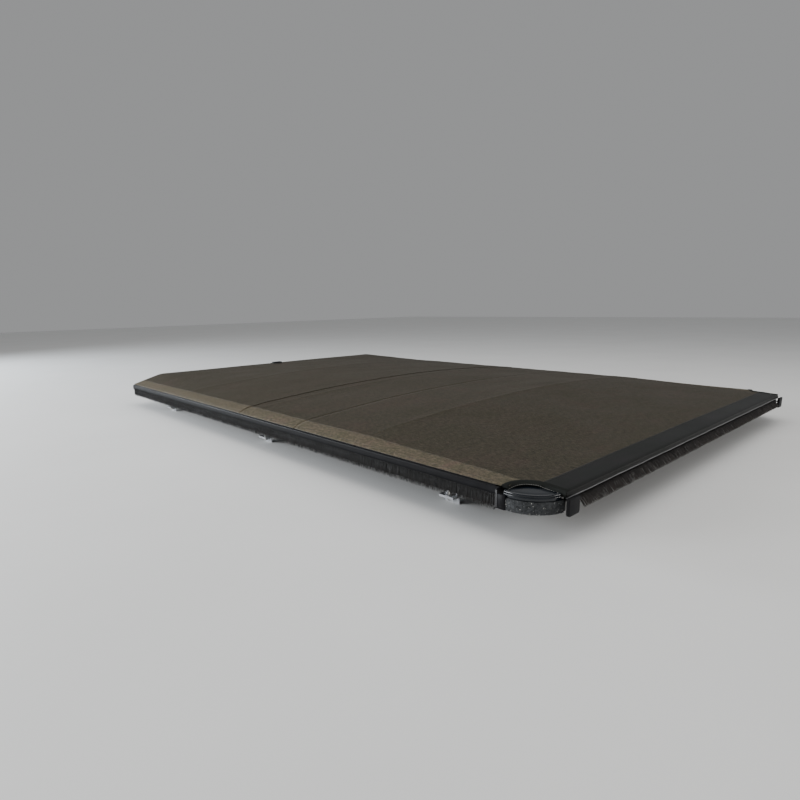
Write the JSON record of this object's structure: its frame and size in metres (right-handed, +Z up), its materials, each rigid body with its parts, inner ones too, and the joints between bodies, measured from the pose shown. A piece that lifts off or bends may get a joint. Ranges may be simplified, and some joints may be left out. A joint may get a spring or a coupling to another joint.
{
  "type": "tonneau cover",
  "caption": "Soft load bed cover: coated cloth stretched over arched bows and clipped to aluminium side rails with brush seals, which unclips and rolls forward.",
  "frame": {"origin": "centre of the cover in plan, at the lowest point of the clamp brackets; the load bed's rim is 80 mm above it", "axes": "+Y forward to the cab end, +X to the right side of the vehicle, +Z up"},
  "size_m": [1.669, 2.328, 0.16],
  "materials": {
    "vinyl": "fine crepe grain, low sheen",
    "black_aluminium": "black powder coat, satin",
    "gloss_moulding": "gloss",
    "black_moulding": "fine moulded texture",
    "clip_strip": "satin extrusion",
    "brush_pile": "dense upright bristles",
    "skirt_rubber": "rough, dusty",
    "seal_rubber": "matt",
    "bow_tube": "mill finish",
    "webbing": "woven",
    "clamp_alloy": "cast, tumbled",
    "zinc_steel": "zinc plated"
  },
  "bodies": {
    "frame": {"left_rail": "black_aluminium", "right_rail": "black_aluminium", "rail_flanges": "black_aluminium", "front_header": "black_aluminium", "rear_bar": "black_aluminium", "front_left_corner": "black_moulding", "front_right_corner": "black_moulding", "rear_left_corner": "black_moulding", "rear_right_corner": "black_moulding", "rear_left_cap": "gloss_moulding", "rear_right_cap": "gloss_moulding", "left_end_plate": "black_aluminium", "right_end_plate": "black_aluminium", "left_bar_tab": "black_moulding", "right_bar_tab": "black_moulding", "left_brush_seal": "brush_pile", "right_brush_seal": "brush_pile", "rear_brush_seal": "brush_pile", "front_seal": "seal_rubber", "rear_left_skirt": "skirt_rubber", "rear_right_skirt": "skirt_rubber", "left_bow_sockets": "black_moulding", "right_bow_sockets": "black_moulding", "left_clamp_brackets": "clamp_alloy", "right_clamp_brackets": "clamp_alloy", "corner_screws": "zinc_steel", "roll_strap": "webbing", "strap_buckle": "black_moulding", "cover_panel_1": "vinyl", "front_clip": "clip_strip", "left_clip_1": "clip_strip", "right_clip_1": "clip_strip", "bow_1": "bow_tube", "bow_plugs_1": "black_moulding"},
    "span_2": {"cover_panel_2": "vinyl", "left_clip_2": "clip_strip", "right_clip_2": "clip_strip", "bow_2": "bow_tube", "bow_plugs_2": "black_moulding"},
    "span_3": {"cover_panel_3": "vinyl", "left_clip_3": "clip_strip", "right_clip_3": "clip_strip", "bow_3": "bow_tube", "bow_plugs_3": "black_moulding"},
    "span_4": {"cover_panel_4": "vinyl", "left_clip_4": "clip_strip", "right_clip_4": "clip_strip", "rear_clip": "clip_strip"},
    "jaw_1": {"clamp_jaw_1": "clamp_alloy"},
    "bolt_1": {"clamp_bolt_1": "zinc_steel"},
    "jaw_2": {"clamp_jaw_2": "clamp_alloy"},
    "bolt_2": {"clamp_bolt_2": "zinc_steel"},
    "jaw_3": {"clamp_jaw_3": "clamp_alloy"},
    "bolt_3": {"clamp_bolt_3": "zinc_steel"},
    "jaw_4": {"clamp_jaw_4": "clamp_alloy"},
    "bolt_4": {"clamp_bolt_4": "zinc_steel"},
    "jaw_5": {"clamp_jaw_5": "clamp_alloy"},
    "bolt_5": {"clamp_bolt_5": "zinc_steel"},
    "jaw_6": {"clamp_jaw_6": "clamp_alloy"},
    "bolt_6": {"clamp_bolt_6": "zinc_steel"}
  },
  "joints": [
    {"name": "roll_1", "type": "hinge", "parent": "frame", "child": "span_2", "pos_m": [0, 0.575, 0.161], "axis": [-1, 0, 0], "range_deg": [0, 85]},
    {"name": "roll_2", "type": "hinge", "parent": "span_2", "child": "span_3", "pos_m": [0, 0, 0.161], "axis": [-1, 0, 0], "range_deg": [0, 85]},
    {"name": "roll_3", "type": "hinge", "parent": "span_3", "child": "span_4", "pos_m": [0, -0.575, 0.15876], "axis": [-1, 0, 0], "range_deg": [0, 85]},
    {"name": "bolt_turn_1", "type": "hinge", "parent": "frame", "child": "bolt_1", "pos_m": [-0.757, 0.85, 0.03], "axis": [0, 0, -1], "range_deg": [0, 5472]},
    {"name": "jaw_drop_1", "type": "slide", "parent": "frame", "child": "jaw_1", "axis": [0, 0, -1], "range_m": [0, 0.019]},
    {"name": "bolt_turn_2", "type": "hinge", "parent": "frame", "child": "bolt_2", "pos_m": [-0.757, 0, 0.03], "axis": [0, 0, -1], "range_deg": [0, 5472]},
    {"name": "jaw_drop_2", "type": "slide", "parent": "frame", "child": "jaw_2", "axis": [0, 0, -1], "range_m": [0, 0.019]},
    {"name": "bolt_turn_3", "type": "hinge", "parent": "frame", "child": "bolt_3", "pos_m": [-0.757, -0.85, 0.03], "axis": [0, 0, -1], "range_deg": [0, 5472]},
    {"name": "jaw_drop_3", "type": "slide", "parent": "frame", "child": "jaw_3", "axis": [0, 0, -1], "range_m": [0, 0.019]},
    {"name": "bolt_turn_4", "type": "hinge", "parent": "frame", "child": "bolt_4", "pos_m": [0.757, 0.85, 0.03], "axis": [0, 0, -1], "range_deg": [0, 5472]},
    {"name": "jaw_drop_4", "type": "slide", "parent": "frame", "child": "jaw_4", "axis": [0, 0, -1], "range_m": [0, 0.019]},
    {"name": "bolt_turn_5", "type": "hinge", "parent": "frame", "child": "bolt_5", "pos_m": [0.757, 0, 0.03], "axis": [0, 0, -1], "range_deg": [0, 5472]},
    {"name": "jaw_drop_5", "type": "slide", "parent": "frame", "child": "jaw_5", "axis": [0, 0, -1], "range_m": [0, 0.019]},
    {"name": "bolt_turn_6", "type": "hinge", "parent": "frame", "child": "bolt_6", "pos_m": [0.757, -0.85, 0.03], "axis": [0, 0, -1], "range_deg": [0, 5472]},
    {"name": "jaw_drop_6", "type": "slide", "parent": "frame", "child": "jaw_6", "axis": [0, 0, -1], "range_m": [0, 0.019]}
  ],
  "couplings": [
    {"joint": "bolt_turn_1", "follows": "jaw_drop_1", "rad_per_m": 5026.5},
    {"joint": "bolt_turn_2", "follows": "jaw_drop_2", "rad_per_m": 5026.5},
    {"joint": "bolt_turn_3", "follows": "jaw_drop_3", "rad_per_m": 5026.5},
    {"joint": "bolt_turn_4", "follows": "jaw_drop_4", "rad_per_m": 5026.5},
    {"joint": "bolt_turn_5", "follows": "jaw_drop_5", "rad_per_m": 5026.5},
    {"joint": "bolt_turn_6", "follows": "jaw_drop_6", "rad_per_m": 5026.5}
  ]
}
